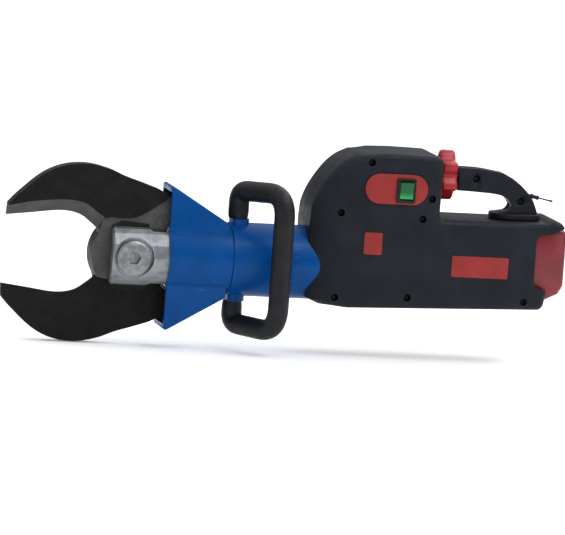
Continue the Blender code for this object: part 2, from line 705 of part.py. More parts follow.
def tilted(obj):
    """Turn an object made along X so that it leaves the handle's back a little downwards."""
    pivot = MM * (ORIGIN + Vector((LEAD_X, 0, LEAD_Z)))
    turn = Matrix.Rotation(math.radians(LEAD_DROP), 4, "Y")
    obj.data.transform(Matrix.Translation(pivot) @ turn @ Matrix.Translation(-pivot))
    return obj


def make_gland(rubber):
    """The moulded strain relief on the handle's back and the short stiff lead in it."""
    gland = turned("cable_gland", [(540, 2.2), (554.2, 2.2), (554.2, 3.7), (556.5, 3.7),
                                   (558, 2.8), (563, 2.6), (563, 3.2), (565.5, 3.0)],
                   "X", (0, LEAD_Z), 14)
    cut(gland, rod("bore", "X", (0, LEAD_Z), LEAD_R + GAP, 560, 570, 12))
    finish(tilted(gland), rubber)
    lead = turned("signal_lead", [(560.5, LEAD_R), (582, LEAD_R), (582, 1.5), (586, 1.3)],
                  "X", (0, LEAD_Z), 12)
    finish(tilted(lead), rubber)


def main():
    for old in list(bpy.data.objects):
        bpy.data.objects.remove(old)
    blue = material("blue_enamel", (0.010, 0.075, 0.32), 0.32, 0.0)
    silver = material("turned_steel", (0.52, 0.53, 0.55), 0.30, 1.0)
    steel = material("steel", (0.33, 0.34, 0.35), 0.42, 1.0)
    bright = material("ground_steel", (0.62, 0.63, 0.64), 0.18, 1.0)
    black_oxide = material("black_oxide", (0.018, 0.018, 0.019), 0.48, 0.6)
    rubber = material("black_rubber", (0.016, 0.016, 0.017), 0.70)
    plastic = material("grey_black_plastic", (0.035, 0.036, 0.042), 0.45)
    red = material("red_plastic", (0.46, 0.020, 0.016), 0.36)
    green = material("green_rocker", (0.0, 0.22, 0.035), 0.22)
    alloy = material("cast_aluminium", (0.45, 0.46, 0.47), 0.45, 1.0)
    copper = material("copper", (0.55, 0.24, 0.10), 0.35, 1.0)
    board_green = material("board_green", (0.02, 0.11, 0.05), 0.40)
    make_head(steel, black_oxide, bright)
    make_fork(silver)
    make_wing_frame(blue)
    make_ram(blue, steel, bright, rubber)
    make_bow(steel, rubber)
    make_casing(plastic)
    for name, point in SCREWS.items():
        machine_screw("screw_" + name, point, -BODY_HALF + 4.7, 19, black_oxide)
    make_hydraulics(alloy, steel, plastic)
    make_motor(steel, copper, steel)
    make_controls(red, steel, rubber, green)
    make_handle(plastic, steel, black_oxide)
    make_handle_base(rubber)
    make_battery(red, plastic, board_green)
    make_labels(red)
    make_gland(rubber)


main()
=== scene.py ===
"""The rebar cutter as it looks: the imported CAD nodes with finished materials, and finer
pieces where a curved outline or a rounded edge shows.

Lengths are millimetres in the tool's own frame: blade pivot at x = z = 0, ram axis along
+X towards the battery, bow grip on the -Y side, +Z up.  place() turns them into the row
frame in metres, from where the CAD's fork and pivot bolt are.
"""
import math

import bmesh
import bpy
from mathutils import Matrix, Vector


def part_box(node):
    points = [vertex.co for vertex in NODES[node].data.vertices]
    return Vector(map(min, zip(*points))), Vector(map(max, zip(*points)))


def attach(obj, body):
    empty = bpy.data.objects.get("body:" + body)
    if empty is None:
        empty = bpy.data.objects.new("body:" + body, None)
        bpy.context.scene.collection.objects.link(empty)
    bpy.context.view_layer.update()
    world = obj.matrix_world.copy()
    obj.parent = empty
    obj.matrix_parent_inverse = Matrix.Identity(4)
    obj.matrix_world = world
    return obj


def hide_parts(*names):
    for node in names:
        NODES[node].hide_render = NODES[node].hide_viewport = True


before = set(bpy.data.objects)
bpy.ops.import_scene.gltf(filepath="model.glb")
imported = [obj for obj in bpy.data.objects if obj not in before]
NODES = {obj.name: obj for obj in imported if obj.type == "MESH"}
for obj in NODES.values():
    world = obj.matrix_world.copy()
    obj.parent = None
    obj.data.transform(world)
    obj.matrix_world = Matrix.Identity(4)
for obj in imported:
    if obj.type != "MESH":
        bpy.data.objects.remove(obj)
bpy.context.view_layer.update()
MM = 0.001


def middle(node):
    """The centre of a CAD node's box, in the row frame."""
    low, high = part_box(node)
    return (low + high) / 2


SHIFT = Vector((middle("pivot_bolt").x, middle("fork").y, middle("pivot_bolt").z))


def place(x, y, z):
    """A point of the tool's own frame in millimetres, as a point of the row frame in metres."""
    return SHIFT + MM * Vector((x, y, z))


# ------------------------------------------------------------------ node helpers

class Surface:
    """A material under construction: its node tree, shader and texture coordinates."""

    def __init__(self, name):
        self.material = bpy.data.materials.new(name)
        self.material.use_nodes = True
        self.tree = self.material.node_tree
        self.shader = self.tree.nodes["Principled BSDF"]
        self.position = self.add("ShaderNodeTexCoord").outputs["Object"]

    def add(self, kind, **settings):
        made = self.tree.nodes.new(kind)
        for key, value in settings.items():
            setattr(made, key, value)
        return made

    def link(self, source, target):
        self.tree.links.new(source, target)

    def noise(self, size, detail=3.0, stretch=(1.0, 1.0, 1.0), shift=0.0):
        """Noise with blots about size millimetres across; a stretch below 1 lengthens them."""
        mapping = self.add("ShaderNodeMapping")
        mapping.inputs["Scale"].default_value = stretch
        mapping.inputs["Location"].default_value = (shift, shift, shift)
        self.link(self.position, mapping.inputs["Vector"])
        texture = self.add("ShaderNodeTexNoise")
        texture.inputs["Scale"].default_value = 1.0 / (size * MM)
        texture.inputs["Detail"].default_value = detail
        self.link(mapping.outputs["Vector"], texture.inputs["Vector"])
        return texture.outputs["Fac"]

    def ramp(self, value, low, high, start=0.0, end=1.0):
        """The value's span from low to high, mapped to start and end and held beyond."""
        made = self.add("ShaderNodeMapRange")
        made.inputs["From Min"].default_value = low
        made.inputs["From Max"].default_value = high
        made.inputs["To Min"].default_value = start
        made.inputs["To Max"].default_value = end
        self.link(value, made.inputs["Value"])
        return made.outputs["Result"]

    def times(self, a, b):
        """The product of two outputs."""
        made = self.add("ShaderNodeMath", operation="MULTIPLY")
        self.link(a, made.inputs[0])
        self.link(b, made.inputs[1])
        return made.outputs["Value"]

    def mix(self, fraction, a, b):
        """Blend two colours; each one is a colour or a node's output."""
        made = self.add("ShaderNodeMix", data_type="RGBA")
        self.link(fraction, made.inputs["Factor"])
        for socket, value in (("A", a), ("B", b)):
            target = [s for s in made.inputs if s.name == socket and s.type == "RGBA"][0]
            if isinstance(value, tuple):
                target.default_value = (*value, 1.0)
            else:
                self.link(value, target)
        return [s for s in made.outputs if s.type == "RGBA"][0]

    def worn_edges(self, width, amount=0.5, patch=6.0):
        """A mask that is 1 on patches of the sharp edges, where a finish rubs off."""
        bevel = self.add("ShaderNodeBevel", samples=6)
        bevel.inputs["Radius"].default_value = width * MM
        geometry = self.add("ShaderNodeNewGeometry")
        dot = self.add("ShaderNodeVectorMath", operation="DOT_PRODUCT")
        self.link(bevel.outputs["Normal"], dot.inputs[0])
        self.link(geometry.outputs["Normal"], dot.inputs[1])
        edge = self.ramp(dot.outputs["Value"], 0.93, 0.78)
        patches = self.ramp(self.noise(patch, 5.0), 0.62 - 0.2 * amount, 0.74 - 0.2 * amount)
        return self.times(edge, patches)

    def bump(self, *layers):
        """Stack bumps; each layer is (height output, depth in millimetres, strength)."""
        normal = None
        for height, depth, strength in layers:
            made = self.add("ShaderNodeBump")
            made.inputs["Distance"].default_value = depth * MM
            made.inputs["Strength"].default_value = strength
            self.link(height, made.inputs["Height"])
            if normal:
                self.link(normal, made.inputs["Normal"])
            normal = made.outputs["Normal"]
        self.link(normal, self.shader.inputs["Normal"])

    def set(self, **values):
        """Set the shader's own sockets; an underscore in a name stands for a space."""
        for key, value in values.items():
            socket = self.shader.inputs[key.replace("_", " ")]
            if hasattr(value, "is_output"):
                self.link(value, socket)
            else:
                socket.default_value = (*value, 1.0) if isinstance(value, tuple) else value
        return self.material


# ------------------------------------------------------------------ materials

def enamel(name, light, dark):
    """Sprayed gloss enamel over steel, chipped along its edges and scuffed."""
    s = Surface(name)
    chips = s.worn_edges(1.2, 0.2, 7.0)
    scuffs = s.ramp(s.noise(2.2, 4.0, (0.12, 1.0, 1.0)), 0.60, 0.72)
    paint = s.mix(s.ramp(s.noise(45.0), 0.35, 0.65), dark, light)
    paint = s.mix(s.times(scuffs, s.ramp(s.noise(30.0, 2.0, shift=3.0), 0.5, 0.65)), paint,
                  tuple(min(1.0, c * 1.5 + 0.01) for c in light))
    s.bump((s.noise(1.6, 1.0), 0.015, 0.3), (chips, -0.03, 0.3))
    return s.set(Base_Color=s.mix(chips, paint, (0.16, 0.155, 0.15)),
                 Roughness=s.ramp(s.noise(12.0, 4.0), 0.35, 0.7, 0.26, 0.42),
                 Specular_IOR_Level=0.10, Coat_Weight=0.03, Coat_Roughness=0.14)


def turned_metal(name, colour, roughness, axis):
    """Metal with fine rings from the lathe about the given axis, and faint stains."""
    s = Surface(name)
    lines = {"X": (1.0, 0.02, 0.02), "Y": (0.02, 1.0, 0.02), "Z": (0.02, 0.02, 1.0)}[axis]
    rings = s.noise(0.45, 3.0, lines)
    stains = s.ramp(s.noise(16.0, 5.0), 0.48, 0.68)
    dull = tuple(c * 0.62 for c in colour)
    s.bump((rings, 0.015, 0.45), (s.noise(7.0), 0.02, 0.2))
    return s.set(Base_Color=s.mix(stains, colour, dull), Metallic=1.0,
                 Roughness=s.ramp(rings, 0.3, 0.7, roughness * 0.75, roughness * 1.35))


def machined_steel(name, colour, roughness):
    """Milled and oiled steel with dull patches and brighter rubbed edges."""
    s = Surface(name)
    rubbed = s.worn_edges(0.8, 0.8, 4.0)
    grain = s.noise(0.6, 3.0, (0.25, 1.0, 1.0))
    patches = s.ramp(s.noise(9.0, 5.0), 0.4, 0.65)
    base = s.mix(patches, colour, tuple(c * 0.6 for c in colour))
    s.bump((grain, 0.02, 0.3))
    return s.set(Base_Color=s.mix(rubbed, base, (0.55, 0.55, 0.56)), Metallic=1.0,
                 Roughness=s.ramp(grain, 0.3, 0.7, roughness * 0.8, roughness * 1.3))


def blackened_steel(name, dark, light, specular, roughness):
    """Forged tool steel with a black oxide skin, ground marks and bright rubbed edges."""
    s = Surface(name)
    rubbed = s.worn_edges(0.7, 0.55, 7.0)
    marks = s.noise(0.8, 3.0, (1.0, 1.0, 0.12))
    skin = s.mix(s.ramp(s.noise(22.0, 6.0), 0.38, 0.68), dark, light)
    specks = tuple(2.0 * c + 0.004 for c in light)
    skin = s.mix(s.ramp(s.noise(3.0, 6.0, shift=5.0), 0.62, 0.75), skin, specks)
    s.bump((marks, 0.03, 0.25), (s.noise(2.4, 5.0), 0.05, 0.25))
    return s.set(Base_Color=s.mix(rubbed, skin, (0.14, 0.14, 0.14)),
                 Metallic=s.ramp(rubbed, 0.0, 1.0, 0.1, 0.9), Specular_IOR_Level=specular,
                 Roughness=s.ramp(s.noise(5.0, 5.0), 0.35, 0.7, roughness, roughness + 0.2))


def moulded(name, light, dark, roughness, grain=0.55, relief=0.05, scuff=0.5, coat=0.0,
            specular=0.5):
    """Moulded plastic with a spark-eroded grain, faint scuffs and uneven sheen."""
    s = Surface(name)
    base = s.mix(s.ramp(s.noise(38.0, 3.0), 0.35, 0.65), dark, light)
    scratches = s.times(s.ramp(s.noise(1.1, 2.0, (0.10, 1.0, 1.0)), 0.66, 0.74),
                        s.ramp(s.noise(26.0, 2.0, shift=7.0), 0.5, 0.66, 0.0, scuff))
    edges = s.worn_edges(0.9, 0.5, 9.0)
    pale = tuple(c * 1.7 + 0.012 for c in light)
    base = s.mix(scratches, base, pale)
    base = s.mix(s.times(edges, s.ramp(s.noise(4.0), 0.3, 0.6, 0.0, 0.5)), base, pale)
    s.bump((s.noise(grain, 2.0), relief, 0.35), (scratches, -0.012, 0.3))
    return s.set(Base_Color=base, Coat_Weight=coat, Coat_Roughness=0.18,
                 Specular_IOR_Level=specular,
                 Roughness=s.ramp(s.noise(15.0, 5.0), 0.3, 0.7, roughness * 0.85,
                                  roughness * 1.2))


def black_rubber(name):
    """Soft black rubber with a matt skin, a little dust and fine pores."""
    s = Surface(name)
    dust = s.ramp(s.noise(20.0, 6.0), 0.50, 0.75)
    s.bump((s.noise(0.9, 3.0), 0.06, 0.4), (s.noise(6.0, 3.0), 0.10, 0.2))
    return s.set(Base_Color=s.mix(dust, (0.006, 0.006, 0.007), (0.013, 0.013, 0.014)),
                 Roughness=s.ramp(s.noise(8.0), 0.35, 0.65, 0.42, 0.56),
                 Specular_IOR_Level=0.25)


def lit_rocker(name):
    """Clear green plastic over a lamp; its lower, pressed end is painted brighter green, a
    painted highlight.
    """
    s = Surface(name)
    parts = s.add("ShaderNodeSeparateXYZ")
    s.link(s.position, parts.inputs["Vector"])
    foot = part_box("switch_rocker")[0].z
    # painted highlight: the colour turns brighter green towards the rocker's lower end
    glow = s.ramp(parts.outputs["Z"], foot + 9 * MM, foot + 1 * MM)
    s.bump((s.noise(1.5, 2.0), 0.02, 0.2))
    colour = s.mix(glow, (0.001, 0.060, 0.018), (0.01, 0.30, 0.07))
    return s.set(Base_Color=colour, Roughness=s.ramp(s.noise(5.0), 0.3, 0.7, 0.22, 0.34),
                 Emission_Color=(0.01, 0.35, 0.07), Emission_Strength=0.08,
                 Specular_IOR_Level=0.3)


def studio_white(name, value, glow):
    """Pale seamless paper, lifted a little by its own glow so that it stays near white."""
    s = Surface(name)
    tone = s.mix(s.ramp(s.noise(260.0, 2.0), 0.3, 0.7), (value, value, value),
                 (value * 0.985, value * 0.985, value * 0.985))
    return s.set(Base_Color=tone, Roughness=0.85, Emission_Color=(1.0, 1.0, 1.0),
                 Emission_Strength=glow)


BLUE = enamel("blue_enamel_look", (0.0, 0.062, 0.250), (0.0, 0.048, 0.195))
TURNED = turned_metal("turned_steel_look", (0.27, 0.28, 0.295), 0.44, "X")
PIN_STEEL = turned_metal("ground_steel_look", (0.62, 0.63, 0.64), 0.18, "Y")
STEEL = machined_steel("steel_look", (0.30, 0.305, 0.315), 0.42)
BLADE_STEEL = blackened_steel("black_oxide_look", (0.0035, 0.0035, 0.0037),
                              (0.0075, 0.0072, 0.0070), 0.16, 0.42)
GROUND_STEEL = blackened_steel("ground_oxide_look", (0.040, 0.038, 0.036),
                               (0.062, 0.059, 0.055), 0.4, 0.36)
RUBBER = black_rubber("black_rubber_look")
PLASTIC = moulded("casing_plastic_look", (0.0135, 0.0152, 0.021), (0.0095, 0.011, 0.0155), 0.46,
                  specular=0.11)
RED = moulded("red_plate_look", (0.27, 0.017, 0.015), (0.21, 0.013, 0.011), 0.36, 0.8, 0.02,
              specular=0.3)
RED_KNOB = moulded("red_knob_look", (0.36, 0.008, 0.014), (0.27, 0.006, 0.010), 0.33, 0.7,
                   0.03, specular=0.35)
RED_BATTERY = moulded("red_battery_look", (0.19, 0.009, 0.013), (0.13, 0.006, 0.009), 0.30,
                      0.7, 0.03, 0.5, 0.15, 0.35)
GREEN = lit_rocker("green_rocker_look")
ALLOY = machined_steel("cast_aluminium_look", (0.45, 0.46, 0.47), 0.45)
COPPER = turned_metal("copper_look", (0.55, 0.24, 0.10), 0.35, "X")
BOARD = moulded("board_look", (0.02, 0.11, 0.05), (0.015, 0.09, 0.04), 0.40)

LOOKS = {"blue_enamel": BLUE, "turned_steel": TURNED, "ground_steel": PIN_STEEL,
         "steel": STEEL, "black_oxide": BLADE_STEEL, "black_rubber": RUBBER,
         "grey_black_plastic": PLASTIC, "red_plastic": RED, "green_rocker": GREEN,
         "cast_aluminium": ALLOY, "copper": COPPER, "board_green": BOARD}


# ------------------------------------------------------------------ shapes

def loft(name, rings):
    """A capped solid through rings of equally many points in the tool's frame."""
    bm = bmesh.new()
    rows = [[bm.verts.new(place(*p)) for p in ring] for ring in rings]
    count = len(rows[0])
    for low, high in zip(rows, rows[1:]):
        for i in range(count):
            j = (i + 1) % count
            bm.faces.new((low[i], low[j], high[j], high[i]))
    bm.faces.new(rows[0])
    bm.faces.new(rows[-1])
    bmesh.ops.recalc_face_normals(bm, faces=bm.faces)
    bmesh.ops.triangulate(bm, faces=list(bm.faces))
    mesh = bpy.data.meshes.new(name)
    bm.to_mesh(mesh)
    bm.free()
    obj = bpy.data.objects.new(name, mesh)
    bpy.context.scene.collection.objects.link(obj)
    return obj


def along(axis, a, b, s):
    """The point at s along the axis, and a, b on the other two in their own order."""
    return {"X": (s, a, b), "Y": (a, s, b), "Z": (a, b, s)}[axis]


def prism(name, outline, axis, low, high):
    """A flat outline drawn out along an axis."""
    return loft(name, [[along(axis, a, b, s) for a, b in outline] for s in (low, high)])


def circle(centre, radius, count=32, start=0.0, end=360.0):
    """Points round a circle, or along an arc with both of its ends."""
    full = abs(end - start) >= 360.0
    steps = count if full else count - 1
    angles = [math.radians(start + (end - start) * i / steps) for i in range(count)]
    return [(centre[0] + radius * math.cos(t), centre[1] + radius * math.sin(t)) for t in angles]


def turned(name, profile, axis, centre=(0.0, 0.0), count=48):
    """A round solid about an axis; the profile is pairs of place along it and radius."""
    return loft(name, [[along(axis, a, b, s) for a, b in circle(centre, r, count)]
                       for s, r in profile])


def curve_through(points, per_span=10):
    """A smooth Catmull-Rom curve through the points."""
    ends = [tuple(2 * a - b for a, b in zip(points[0], points[1]))]
    ends += list(points)
    ends.append(tuple(2 * a - b for a, b in zip(points[-1], points[-2])))
    result = []
    for p0, p1, p2, p3 in zip(ends, ends[1:], ends[2:], ends[3:]):
        for step in range(per_span):
            t = step / per_span
            result.append(tuple(
                0.5 * (2 * b + (c - a) * t + (2 * a - 5 * b + 4 * c - d) * t * t
                       + (3 * b - a - 3 * c + d) * t ** 3)
                for a, b, c, d in zip(p0, p1, p2, p3)))
    result.append(tuple(points[-1]))
    return result


def bevelled(obj, width, segments=3, angle=30.0):
    """Round the edges sharper than the angle; the width is in millimetres."""
    modifier = obj.modifiers.new("soft_edges", "BEVEL")
    modifier.width = width * MM
    modifier.segments = segments
    modifier.limit_method = "ANGLE"
    modifier.angle_limit = math.radians(angle)
    modifier.harden_normals = True
    return obj


def apply_modifiers(obj):
    """Make what the modifiers show the object's own mesh."""
    graph = bpy.context.evaluated_depsgraph_get()
    mesh = bpy.data.meshes.new_from_object(obj.evaluated_get(graph))
    obj.modifiers.clear()
    obj.data = mesh
    return obj


def cut(obj, *tools, operation="DIFFERENCE"):
    """Cut away, or keep only, what the tools cover; the tools are used up."""
    for tool in tools:
        modifier = obj.modifiers.new("cut", "BOOLEAN")
        modifier.operation = operation
        modifier.solver = "EXACT"
        modifier.object = tool
        apply_modifiers(obj)
        bpy.data.objects.remove(tool)
    return obj


def smooth(obj, angle):
    """Shade smooth, with a crease wherever faces meet at more than the angle."""
    obj.data.shade_smooth()
    obj.data.set_sharp_from_angle(angle=math.radians(angle))
    return obj


def dress(obj, look, body, slot, *nodes):
    """Give a finished piece its material, the body it rides on and the nodes it replaces."""
    obj.data.materials.clear()
    obj.data.materials.append(look)
    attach(obj, body)
    if nodes:
        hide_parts(*nodes)
    return obj


# ------------------------------------------------------------------ finer pieces

TIP_X = -172.0                 # the blades' tips
BLADE_T = 22.0                 # outer face of a blade, and of its hub, from the mid-plane
HUB_T = 18.4
TAIL_PIN = (55.352, 35.946)    # the link's pin in the upper blade's tail; the lower mirrors it
KNOB_Z = 129.0                 # height of the star knob's axis
KNOB_R = 29.0                  # star knob: mean radius and the lobes' depth
LOBE = 5.0
LOBES = 6
CASING_HALF = 56.0             # the casing's half width, side fillet, wall and nose depth
CASING_FILLET = 9.0
CASING_WALL = 3.2
NOSE_DEPTH = 20.0
HALF_SEAM = 0.15               # half of the parting line between two moulded halves
BARREL_R = 50.0                # ram cylinder: radius and its two ends
BARREL_FRONT, BARREL_REAR = 136.3, 262.0
HULL_R = 49.0                  # the wing frame's round hull
WING_FRONT = 48.5
WING_TOP = 97.0
WING_HALF = 35.0               # the wings' half width
BOW_LEG = (147.0, -4.0)        # x and y of the bow's legs and of its grip
BOW_GRIP = (194.0, -84.0)
SLEEVE_R = 14.0
HANDLE_SCREWS = ((473, 126), (537, 98))


def make_blade(name, side):
    """A blade with smooth curves, its ground edge and the stepped hub; side is -1 near."""
    edge = curve_through([(TIP_X, 47), (-140, 51), (-98, 56), (-72, 52), (-54, 40), (-46, 33)])
    ground = curve_through([(TIP_X, 61), (-140, 68), (-96, 72.5), (-68, 69), (-51, 58),
                            (-40, 51)])
    hub = circle((0, 0), 54.0, 24, 148, 215) + circle((0, 0), 43.0, 32, 232, 352)
    eye = circle(TAIL_PIN, 14.0, 20, -105, 15)
    corner = circle((0, 0), 97.0, 8, 40, 61)
    back = curve_through([(34, 91.5), (10, 99.5), (-12, 106.5), (-36, 116), (-66, 122),
                          (-97, 119), (-126, 106), (-156, 80), (TIP_X + 1, 64)])
    rest = hub + eye + corner + back
    flip = -side

    def ring(points, depth):
        return [(x, side * depth, flip * z) for x, z in points]

    body = loft(name + "_finished", [ring(edge + rest, 0.2), ring(edge + rest, 6.0),
                                     ring(ground + rest, BLADE_T)])
    recess = curve_through([(-64, 34), (-47, 46), (-31, 51), (-14, 50.5), (4, 53), (24, 64),
                            (54, 86)])
    recess += [(110, 110), (110, -70), (-64, -70)]
    cut(body, loft("recess", [ring(recess, HUB_T), ring(recess, BLADE_T + 5)]),
        turned("bore", [(-40, 15.3), (40, 15.3)], "Y"),
        turned("eye_hole", [(-40, 6.3), (40, 6.3)], "Y", (TAIL_PIN[0], flip * TAIL_PIN[1])))
    smooth(body, 28.0)
    dress(body, BLADE_STEEL, name, "black_oxide", name)
    body.data.materials.append(GROUND_STEEL)
    for face in body.data.polygons:
        point = (face.center - SHIFT) / MM
        outwards = face.normal.y * side
        if outwards > 0.2 and abs(point.y) < BLADE_T - 0.1:
            face.material_index = 1
    return bevelled(body, 0.6, 2, 28.0)


def make_knob():
    """A six-lobed hand wheel with rounded rims and a dished rear face."""
    rings = []
    profile = [(421.0, 0.86), (421.6, 0.93), (423.0, 0.98), (425.0, 1.0), (439.0, 1.0),
               (441.0, 0.98), (442.4, 0.93), (443.0, 0.86), (443.0, 0.74), (441.0, 0.68),
               (441.0, 0.50)]
    for x, scale in profile:
        ring = []
        for i in range(144):
            t = 2 * math.pi * i / 144
            radius = scale * (KNOB_R + LOBE * math.cos(LOBES * t))
            ring.append((x, radius * math.sin(t), KNOB_Z + radius * math.cos(t)))
        rings.append(ring)
    knob = loft("star_knob_finished", rings)
    cut(knob, turned("bore", [(400, 9.5), (460, 9.5)], "X", (0, KNOB_Z)))
    return dress(smooth(knob, 50.0), RED_KNOB, "valve_knob", "red_plastic", "star_knob")


def inset(outline, distance):
    """An anticlockwise outline moved inwards, point for point."""
    result = []
    for i, point in enumerate(outline):
        here = Vector(point)
        first = here - Vector(outline[i - 1])
        second = Vector(outline[(i + 1) % len(outline)]) - here
        n1 = Vector((-first.y, first.x)).normalized()
        n2 = Vector((-second.y, second.x)).normalized()
        mid = (n1 + n2).normalized()
        result.append(tuple(here + mid * (distance / max(0.4, mid.dot(n1)))))
    return result


def body_outline():
    """The casing's side outline from its lower front corner, and which points are nose."""
    lower = [(241, -44), (258, -51), (296, -54), (400, -50.8), (556, -46)]
    lower += circle((560, -35), 11, 8, -80, 0)
    rear = [(582, 20), (592.2, 54)] + circle((580, 63), 14, 9, -14, 80)
    deck = [(575, 76.6), (570, 72.5), (500, 72.2), (432, 72.0)]
    deck += circle((422.5, 78), 6, 6, -95, -175)
    block = circle((406, 147.5), 11, 9, 0, 86) + [(360, 159.5), (328, 158.5)]
    nose = curve_through([(300, 155.5), (283, 146.5), (267, 131), (250, 105), (241, 82),
                          (239, 62)], 8)
    nose += [(239, 36), (239, 10), (239, -20)]
    outline = lower + rear + deck + block + nose
    is_nose = [True] * 2 + [False] * (len(outline) - len(nose) - 2) + [True] * len(nose)
    return outline, is_nose


def casing_body(name, wall):
    """The casing's rounded body, made smaller by a wall; the nose is rounded towards -X."""
    full, is_nose = body_outline()
    outline = inset(full, wall)
    rounds = inset(full, CASING_FILLET)
    fillet = CASING_FILLET - wall
    half = CASING_HALF - wall
    levels = []
    for step in range(8):
        turn = math.radians(90.0 * step / 7)
        levels.append((half - fillet * (1 - math.cos(turn)), 1 - math.sin(turn)))
    levels += [(half - depth, 0.0) for depth in (11.0, 13.5, 16.0, 18.0, 20.0)]
    rings = []
    for y, shrink in levels:
        slope = (y - (half - NOSE_DEPTH)) / NOSE_DEPTH
        ring = []
        for (x, z), (rx, rz), nose in zip(outline, rounds, is_nose):
            if nose:
                reach = 33.0 - 0.16 * max(0.0, z - 60)
                drop = 3.0 * slope * min(1.0, max(0.0, (z - 125) / 20))
                ring.append((x + reach * slope * slope, z - drop))
            else:
                ring.append((x + (rx - x) * shrink, z + (rz - z) * shrink))
        rings.append((y, ring))
    both = [(-y, ring) for y, ring in rings] + [(y, ring) for y, ring in reversed(rings)]
    return loft(name, [[(x, y, z) for x, z in ring] for y, ring in both])


def box(name, x, y, z):
    """A block between two places on each axis."""
    return prism(name, [(x[0], y[0]), (x[1], y[0]), (x[1], y[1]), (x[0], y[1])], "Z", *z)


def make_casing():
    """Two moulded half shells with the battery's bay, its side openings and screw seats."""
    shell = casing_body("casing_near_finished", 0.0)
    scallop = [(553, 50), (553, 0)] + circle((563, -6), 10, 12, 180, 262)
    scallop += [(577, -22), (640, -22), (640, 70), (598, 70), (572, 59), (558, 57)]
    nose_hole_r = 50.1         # 0.1 mm of play on the ram cylinder, where the CAD has 0.8
    cut(shell, casing_body("cavity", CASING_WALL),
        turned("nose_hole", [(200, nose_hole_r), (270, nose_hole_r)], "X", count=64),
        turned("neck_hole", [(405, 16.4), (430, 16.4)], "X", (0, KNOB_Z)),
        box("bay", (560, 660), (-46.6, 46.6), (-38, 70)),
        prism("scallop", scallop, "Y", -80, 80),
        box("switch_hole", (353, 377), (-70, -45), (94.5, 125.5)))
    for node in NODES:
        if node.startswith("screw_"):
            centre = (middle(node) - SHIFT) / MM
            seat = [(-75, 5.0), (-48, 5.0)]
            cut(shell, turned("seat", seat, "Y", (centre.x, centre.z), 32))
    far = shell.copy()
    far.data = shell.data.copy()
    far.name = "casing_far_finished"
    bpy.context.scene.collection.objects.link(far)
    cut(shell, box("near_half", (100, 700), (-90, -HALF_SEAM), (-90, 200)),
        operation="INTERSECT")
    cut(far, box("far_half", (100, 700), (HALF_SEAM, 90), (-90, 200)), operation="INTERSECT")
    dress(smooth(shell, 38.0), PLASTIC, "frame", "grey_black_plastic", "casing_near")
    dress(smooth(far, 38.0), PLASTIC, "frame", "grey_black_plastic", "casing_far")


def handle_outline():
    """The rear handle's side outline, anticlockwise, standing on its foot."""
    foot = 81.8
    top = curve_through([(447, 140.5), (480, 139.5), (512, 135)], 8)
    back = curve_through([(523, 129.5), (538, 118.5), (553, 102), (562, foot)], 8)
    inner = curve_through([(508, foot), (520, 84.5), (525, 92), (518, 101.5), (503, 106.5),
                           (475, 108.5), (447, 109.5)], 6)
    return (top + back + inner)[::-1]


def make_handle():
    """The rear handle's two shells, meeting at a fine parting line."""
    for node, side in (("handle_near", -1), ("handle_far", 1)):
        shell = prism(node + "_finished", handle_outline(), "Y", -15, 15)
        bevelled(shell, 4.5, 6, 50.0)
        apply_modifiers(shell)
        low, high = sorted((side * HALF_SEAM, side * 40.0))
        half = prism("half", [(400, 60), (600, 60), (600, 160), (400, 160)], "Y", low, high)
        cut(shell, half, operation="INTERSECT")
        cut(shell, turned("neck_hole", [(440, 9.3), (470, 9.3)], "X", (0, KNOB_Z)))
        for point in HANDLE_SCREWS:
            cut(shell, turned("seat", [(-40, 5.0), (-8, 5.0)], "Y", point, 32))
        dress(smooth(shell, 40.0), PLASTIC, "frame", "grey_black_plastic", node)


def make_battery():
    """The slide-in pack: a tongue, and a head that stands out above and below it."""
    outline = [(472, -24), (556, -24), (560, -33), (572, -33), (592, -23), (598, -12),
               (598, 58), (594, 65), (575, 63), (556, 58), (472, 58)]
    pack = prism("battery_pack_finished", outline, "Y", -46, 46)
    bevelled(pack, 5.0, 5, 25.0)
    apply_modifiers(pack)
    return dress(smooth(pack, 40.0), RED_BATTERY, "battery", "red_plastic", "battery_pack")


def bow_path(steps=12):
    """The bow's centre line: two legs, round bends and the upright grip."""
    corners = [Vector(p) for p in ((*BOW_LEG, 56.3), (*BOW_LEG, 94), (*BOW_GRIP, 100),
                                   (*BOW_GRIP, -88), (*BOW_LEG, -87), (*BOW_LEG, -56.3))]
    bends = (16.0, 34.0, 34.0, 16.0)
    path = [corners[0]]
    for before, here, after, bend in zip(corners, corners[1:], corners[2:], bends):
        start = here + (before - here).normalized() * bend
        end = here + (after - here).normalized() * bend
        for step in range(steps + 1):
            t = step / steps
            path.append(start * (1 - t) ** 2 + here * 2 * t * (1 - t) + end * t * t)
    path.append(corners[-1])
    return path


